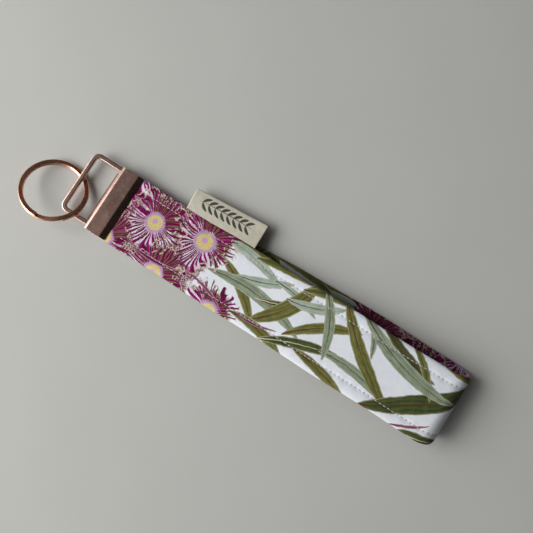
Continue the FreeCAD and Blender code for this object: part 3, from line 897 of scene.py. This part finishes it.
def make_label(material):
    """A ribbon folded in two: out from the seam, round its fold and back, slightly bowed."""
    near_inset, far_inset = 0.9, 0.3          # ends of the root, in from the CAD label's box
    shorter_near = 2.3                        # the near end reaches out less than the far end
    root_inset = 3.0                          # how far the root goes under the strap's edge
    slant_near, slant_far = 0.9, 0.4
    half_gap = 0.26                           # half the distance between the plies' middles
    ply_thick = 0.34
    back_of_print = 40                        # moves the lower ply's place off the printed sprig
    near, far = LABEL_LOW[0] + near_inset, LABEL_HIGH[0] - far_inset
    length = far - near
    root_y = HALF_WIDTH - root_inset
    middle_z = (LABEL_LOW[2] + LABEL_HIGH[2]) / 2
    out_near, out_far = LABEL_HIGH[1] - HALF_WIDTH - shorter_near, LABEL_HIGH[1] - HALF_WIDTH
    profile = label_profile()
    rows = 71
    grid = []
    places = []
    for share in np.linspace(0, 1, rows):
        reach = HALF_WIDTH - root_y + out_near + (out_far - out_near) * share
        x = near + length * share
        for outward, level in profile:
            sag = -0.55 * outward ** 2 * (0.6 + 0.8 * math.sin(1.4 * share + 0.5))
            curl = 0.55 * smooth((share - 0.72) / 0.28) * outward ** 2
            ripple = 0.05 * math.sin(9 * share + 2 * outward) * outward
            slant = -slant_near * outward * (1 - share) - slant_far * outward * share
            open_up = half_gap * (0.8 + 0.5 * outward * (1 - outward) * 4)
            on_strap = 1 - smooth(outward * 1.2)
            level_z = middle_z + (root_z(x) - middle_z) * on_strap
            grid.append((x + slant, root_y + reach * outward,
                         level_z + level * open_up + sag + curl + ripple))
            places.append((length * share + (0 if level > 0 else back_of_print),
                           reach * outward - (HALF_WIDTH - root_y), 0.0))
    width = len(profile)
    faces = []
    for row in range(rows - 1):
        for place in range(width - 1):
            corner = row * width + place
            faces.append((corner, corner + width, corner + width + 1, corner + 1))
    piece = mesh_object("folded_label", grid, faces, material=material)
    set_print_place(piece, places, "POINT")
    thicken = piece.modifiers.new("ply", "SOLIDIFY")
    thicken.thickness = ply_thick * MM
    thicken.offset = 0.0
    thicken.use_even_offset = True
    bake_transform(piece)
    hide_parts("label")
    return piece


# ------------------------------------------------------------------ metal


def finish_node(node, material, bevel):
    """The CAD shape with its own material. A bevel above 0 eases its sharp edges."""
    piece = frame["nodes"][node]
    if not piece.data.materials:
        piece.data.materials.append(material)
    for place in range(len(piece.material_slots)):
        piece.material_slots[place].material = material
    if bevel:
        ease = piece.modifiers.new("eased_edges", "BEVEL")
        ease.width = bevel * MM
        ease.segments = 3
        ease.limit_method = "ANGLE"
        ease.angle_limit = math.radians(35)


# ------------------------------------------------------------------ set


def make_floor():
    """A plain pale table."""
    half_side = 2500
    corners = [(-half_side, -half_side, 0), (half_side, -half_side, 0),
               (half_side, half_side, 0), (-half_side, half_side, 0)]
    floor = mesh_object("floor", corners, [(0, 1, 2, 3)], smooth_shade=False)
    material, t, shader = new_material("pale_table")
    node = t.tree.nodes.new("ShaderNodeTexCoord")
    place = t.vector("SCALE", node.outputs["Object"], scale=1000.0)
    cloud = t.noise(place, 0.02, 3.0)
    t.put(shader.inputs["Base Color"], t.mix(cloud, (0.505, 0.505, 0.475), (0.545, 0.545, 0.515)))
    shader.inputs["Roughness"].default_value = 0.9
    floor.data.materials.append(material)


def heading(degrees):
    """A level direction, by its angle from +X towards +Y."""
    return Vector((math.cos(math.radians(degrees)), math.sin(math.radians(degrees)), 0))


WINDOW_FROM = 211.0                           # heading from which the window light comes


def area_light(name, place, aim, size, power, colour):
    """A soft rectangular light at a place, turned to its aim."""
    data = bpy.data.lights.new(name, "AREA")
    data.shape = "RECTANGLE"
    data.size, data.size_y = size
    data.energy = power
    data.color = colour
    lamp = bpy.data.objects.new(name, data)
    lamp.location = place
    lamp.rotation_euler = (Vector(aim) - Vector(place)).to_track_quat("-Z", "Y").to_euler()
    bpy.context.scene.collection.objects.link(lamp)


ROOM_DARK = (0.018, 0.016, 0.016)
ROOM_PALE = (0.17, 0.16, 0.155)
WINDOW_BRIGHT = (1.45, 1.48, 1.52)


def make_lights():
    """One soft window, and a room that is pale on the window's side and dark on the other."""
    middle = Vector((0.07, 0.0, 0.0))
    away, height = 0.55, 0.42
    window = middle + heading(WINDOW_FROM) * away + Vector((0, 0, height))
    area_light("window", window, middle, (0.60, 0.46), 4.5, (1.0, 0.995, 0.985))
    world = bpy.data.worlds.new("room")
    bpy.context.scene.world = world
    world.use_nodes = True
    t = Tree(world.node_tree)
    node = world.node_tree.nodes.new("ShaderNodeTexCoord")
    toward = t.vector("DOT_PRODUCT", node.outputs["Generated"], tuple(heading(WINDOW_FROM)))
    room = t.mix(t.ramp(toward, -0.22, 0.24), ROOM_DARK, ROOM_PALE)
    room = t.mix(t.ramp(toward, 0.36, 0.62), room, WINDOW_BRIGHT)
    background = world.node_tree.nodes["Background"]
    t.put(background.inputs["Color"], room)
    background.inputs["Strength"].default_value = 0.85


def make_camera():
    """A phone held over the middle of the strap, turned so that the strap runs down to the right."""
    place = Vector((0.10203, -0.01263, 0.32325))
    aim = Vector((0.0711, 0.0126, 0.0))
    picture_up = heading(122.55)
    forward = (aim - place).normalized()
    right = forward.cross(picture_up).normalized()
    up = right.cross(forward)
    data = bpy.data.cameras.new("camera")
    data.sensor_width = 36.0
    data.lens = 50.66
    data.clip_start = 0.01
    camera = bpy.data.objects.new("camera", data)
    camera.matrix_world = Matrix((
        (right.x, up.x, -forward.x, place.x), (right.y, up.y, -forward.y, place.y),
        (right.z, up.z, -forward.z, place.z), (0, 0, 0, 1)))
    bpy.context.scene.collection.objects.link(camera)
    bpy.context.scene.camera = camera
    bpy.context.scene.view_settings.view_transform = "Standard"


# ------------------------------------------------------------------ build


def build():
    """Everything in the scene, in one fixed order."""
    make_camera()
    make_lights()
    make_floor()
    make_strap(print_material())
    thread = thread_material()
    for side_name, seam in (("label_side", SEAM), ("plain_side", -SEAM)):
        for thread_name, side in (("needle", 1), ("bobbin", -1)):
            node = "%s_thread_%s" % (thread_name, side_name)
            make_stitches(node.replace("thread", "stitches"), node, seam, side, thread)
    make_label(label_material())
    satin = metal_material("satin_rose_gold", (0.44, 0.285, 0.24), (0.36, 0.225, 0.19), 0.24, 12.0)
    polished = metal_material("polished_rose_gold", (0.84, 0.60, 0.51), (0.77, 0.53, 0.44), 0.24, 3.0)
    bright = metal_material("copper_rose_gold", (0.84, 0.45, 0.31), (0.76, 0.38, 0.25), 0.27, 1.0)
    finish_node("clamp", satin, 0.12)
    finish_node("bail", polished, 0.0)
    finish_node("split_ring", bright, 0.10)
    finish_node("strap_interfacing", interfacing_material(), 0.0)


build()
